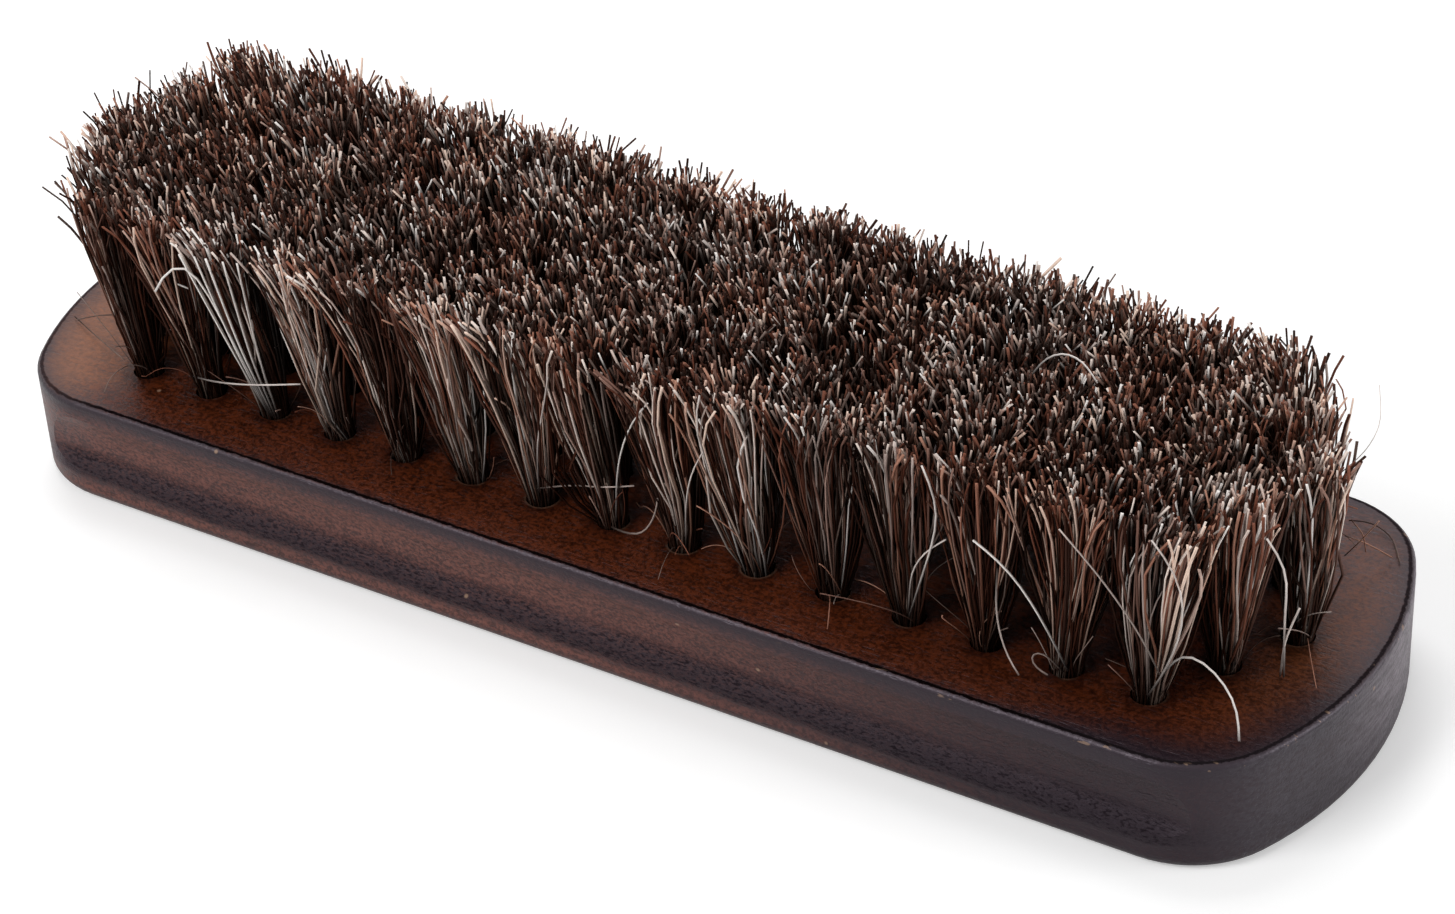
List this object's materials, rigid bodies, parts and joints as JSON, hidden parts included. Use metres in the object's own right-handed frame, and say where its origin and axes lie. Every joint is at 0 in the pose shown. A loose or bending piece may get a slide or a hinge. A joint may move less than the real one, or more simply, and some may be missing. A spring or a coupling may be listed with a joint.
{
  "type": "shoe shine brush",
  "caption": "Hand brush for shining shoes: a stained wooden block with finger grooves, set with staggered tufts of folded horsehair held by flat wire anchors.",
  "frame": {"origin": "middle of the flat palm face that the brush lies on, bristles up", "axes": "+X along the length of the block, +Y across it, +Z from the palm face to the bristle tips"},
  "size_m": [0.17, 0.052, 0.0375],
  "materials": {
    "block": "dark brown stain burnished darker at the edges, satin lacquer",
    "horsehair": "mixed natural horsehair, black, auburn and grey",
    "anchor_wire": "bright drawn flat wire"
  },
  "bodies": {
    "root": {"block": "block", "tuft_row_1": "horsehair", "tuft_row_2": "horsehair", "tuft_row_3": "horsehair", "tuft_row_4": "horsehair", "tuft_row_5": "horsehair", "anchor_row_1": "anchor_wire", "anchor_row_2": "anchor_wire", "anchor_row_3": "anchor_wire", "anchor_row_4": "anchor_wire", "anchor_row_5": "anchor_wire"}
  },
  "joints": []
}
